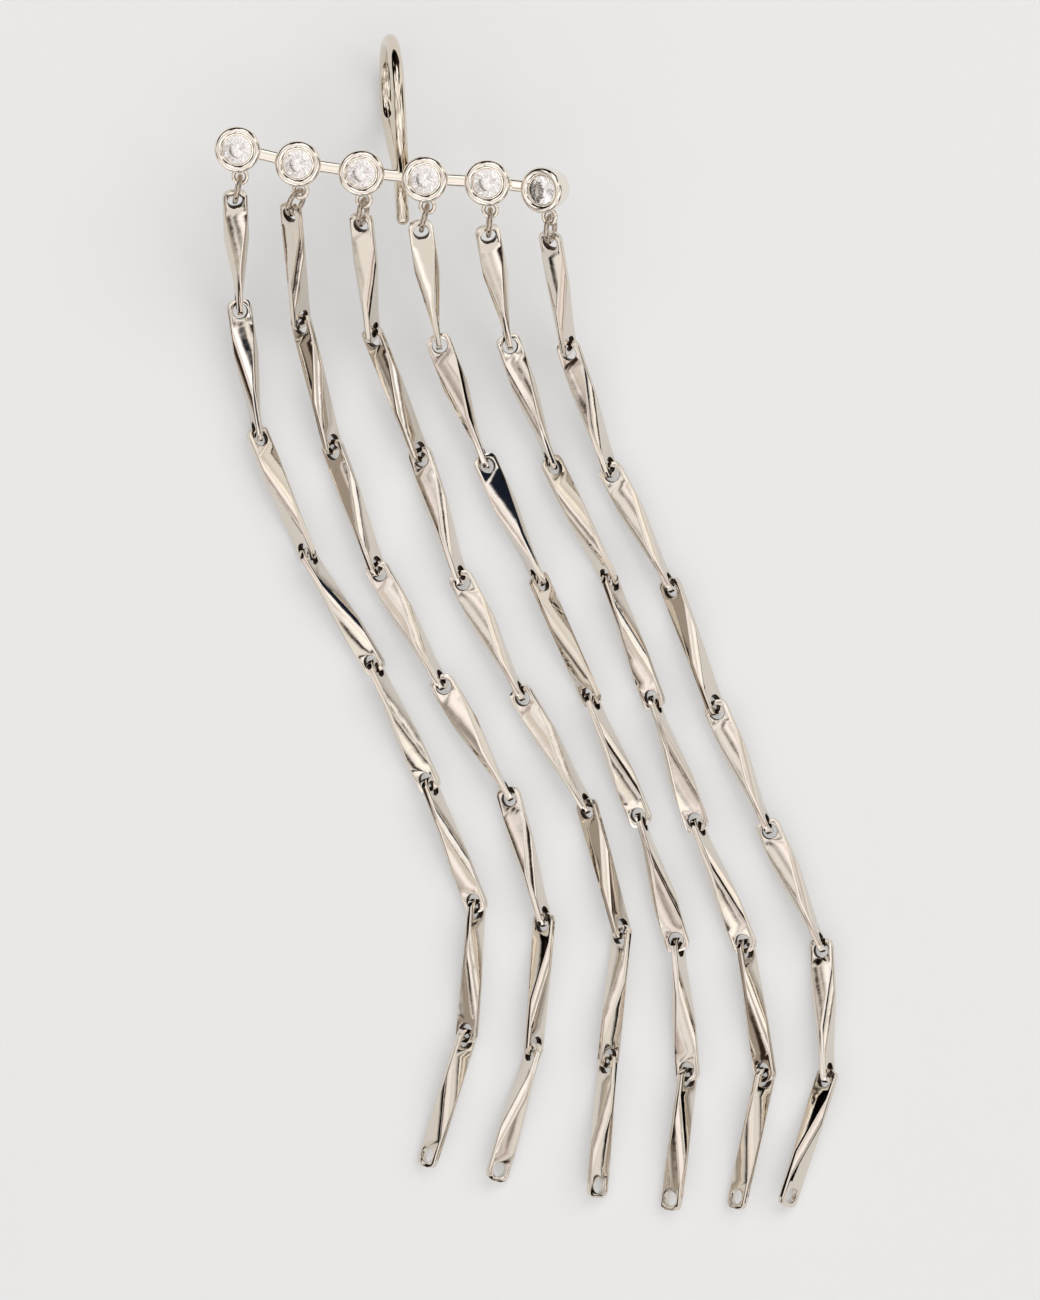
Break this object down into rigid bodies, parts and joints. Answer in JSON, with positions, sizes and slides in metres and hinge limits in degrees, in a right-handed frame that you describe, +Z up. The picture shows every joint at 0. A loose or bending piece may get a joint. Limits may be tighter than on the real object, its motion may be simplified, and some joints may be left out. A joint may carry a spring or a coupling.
{
  "type": "ear climber earring",
  "caption": "Ear climber: a curved row of bezel-set round stones on an ear hook, with a long strand of twisted bar links hanging from each bezel.",
  "frame": {"origin": "middle of the bounding box's footprint, on the table the jewel lies on", "axes": "+X to the right as seen from above, +Y towards the top of the hook, +Z up from the table"},
  "size_m": [0.051, 0.0964, 0.0119],
  "materials": {
    "polished_metal": "mirror-polished rhodium plating on every link, ring, bezel and the hook",
    "clear_stone": "colourless round brilliants, polished facets"
  },
  "bodies": {
    "root": {"climber_frame": "polished_metal", "stone_1": "clear_stone", "stone_2": "clear_stone", "stone_3": "clear_stone", "stone_4": "clear_stone", "stone_5": "clear_stone", "stone_6": "clear_stone", "jump_ring_1": "polished_metal", "jump_ring_2": "polished_metal", "jump_ring_3": "polished_metal", "jump_ring_4": "polished_metal", "jump_ring_5": "polished_metal", "jump_ring_6": "polished_metal", "strand_1": "polished_metal", "strand_2": "polished_metal", "strand_3": "polished_metal", "strand_4": "polished_metal", "strand_5": "polished_metal", "strand_6": "polished_metal"}
  },
  "joints": []
}
